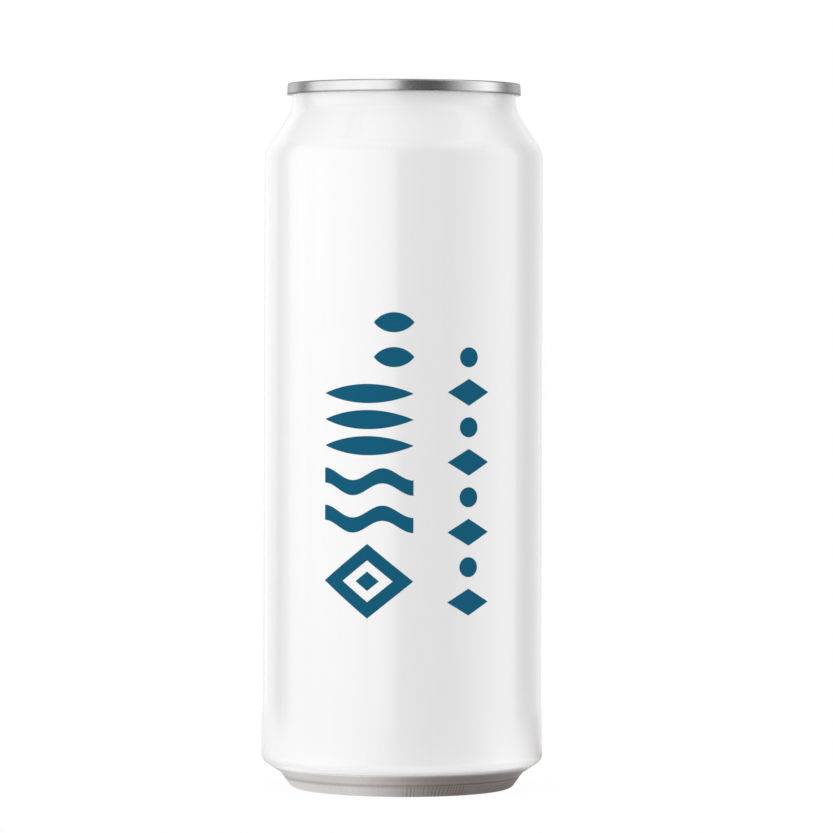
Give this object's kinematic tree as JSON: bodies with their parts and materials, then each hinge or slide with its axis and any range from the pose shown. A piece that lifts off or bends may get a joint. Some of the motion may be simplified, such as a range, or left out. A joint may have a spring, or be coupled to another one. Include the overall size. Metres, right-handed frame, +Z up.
{
  "type": "aluminum beverage can",
  "caption": "Tall necked aluminium drinks can with a white coat, a seamed lid with a stay-on tab, and a bare domed foot.",
  "frame": {"origin": "centre of the ring that the can stands on", "axes": "+Z up along the can's axis, -Y towards the viewer and the lid's opening, +X to the viewer's right"},
  "size_m": [0.0664, 0.0664, 0.1661],
  "materials": {
    "can_body": "satin white coat over thin aluminium, bare below the bottom corner",
    "can_end": "satin rolled aluminium under clear lacquer",
    "pull_tab": "bright rolled aluminium"
  },
  "bodies": {
    "root": {"can_body": "can_body", "can_end": "can_end", "pull_tab": "pull_tab"}
  },
  "joints": []
}
